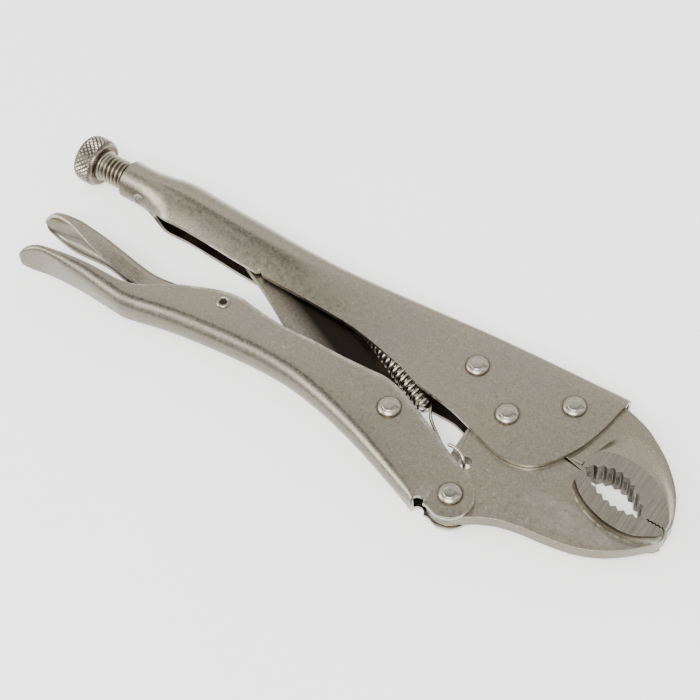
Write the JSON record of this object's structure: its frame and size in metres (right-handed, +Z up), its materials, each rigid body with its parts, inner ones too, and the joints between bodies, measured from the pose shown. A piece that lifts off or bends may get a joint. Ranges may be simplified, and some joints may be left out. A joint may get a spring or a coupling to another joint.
{
  "type": "locking pliers",
  "caption": "Curved-jaw locking pliers in satin nickel-plated steel, with an adjusting screw, a toggle-locking lower handle and a release lever.",
  "frame": {"origin": "middle of the footprint of the tool lying on one side, on the surface it lies on", "axes": "+X along the adjusting screw towards the jaws, +Y towards the spine of the fixed handle, +Z up, across the tool's thickness"},
  "size_m": [0.253, 0.0702, 0.018],
  "materials": {
    "nickel_sheet": "satin bead-blasted nickel plate",
    "jaw_steel": "satin nickel plate with ground pads",
    "link_steel": "satin nickel plate",
    "rivet_steel": "bright rolled steel",
    "screw_steel": "plated thread",
    "knob_steel": "knurled, plated",
    "spring_steel": "drawn spring wire"
  },
  "bodies": {
    "fixed_handle": {"body": "nickel_sheet", "upper_jaw": "jaw_steel", "jaw_rivet_rear": "rivet_steel", "jaw_rivet_front": "rivet_steel", "jaw_pivot_rivet": "rivet_steel", "return_spring": "spring_steel"},
    "moving_jaw": {"lower_jaw": "jaw_steel"},
    "moving_handle": {"lower_handle": "nickel_sheet", "handle_pivot_rivet": "rivet_steel", "link_rivet": "rivet_steel", "lever_rivet": "rivet_steel"},
    "link": {"toggle_link": "link_steel"},
    "lever": {"release_lever": "nickel_sheet"},
    "screw": {"adjusting_screw": "screw_steel"},
    "knob": {"screw_knob": "knob_steel"}
  },
  "joints": [
    {"name": "jaw_hinge", "type": "hinge", "parent": "fixed_handle", "child": "moving_jaw", "pos_m": [0.0623, 0.0083, 0.009], "axis": [0, 0, 1], "range_deg": [-22, 0], "deforming": ["return_spring"]},
    {"name": "handle_hinge", "type": "hinge", "parent": "moving_jaw", "child": "moving_handle", "pos_m": [0.0625, -0.0264, 0.009], "axis": [0, 0, 1], "range_deg": [0, 64]},
    {"name": "link_hinge", "type": "hinge", "parent": "moving_handle", "child": "link", "pos_m": [0.0285, -0.0101, 0.009], "axis": [0, 0, 1], "range_deg": [-61.2, 0]},
    {"name": "release_hinge", "type": "hinge", "parent": "moving_handle", "child": "lever", "pos_m": [-0.0423, -0.006, 0.009], "axis": [0, 0, 1], "range_deg": [0, 5]},
    {"name": "screw_travel", "type": "slide", "parent": "fixed_handle", "child": "screw", "axis": [1, 0, 0], "range_m": [-0.021, 0]},
    {"name": "knob_turn", "type": "hinge", "parent": "screw", "child": "knob", "pos_m": [-0.1187, 0.0227, 0.009], "axis": [1, 0, 0], "range_deg": [-5040, 0]}
  ],
  "couplings": [
    {"joint": "jaw_hinge", "follows": "handle_hinge", "ratio": -0.34375},
    {"joint": "link_hinge", "follows": "handle_hinge", "ratio": -0.95531},
    {"joint": "knob_turn", "follows": "screw_travel", "rad_per_m": 4188.8}
  ]
}
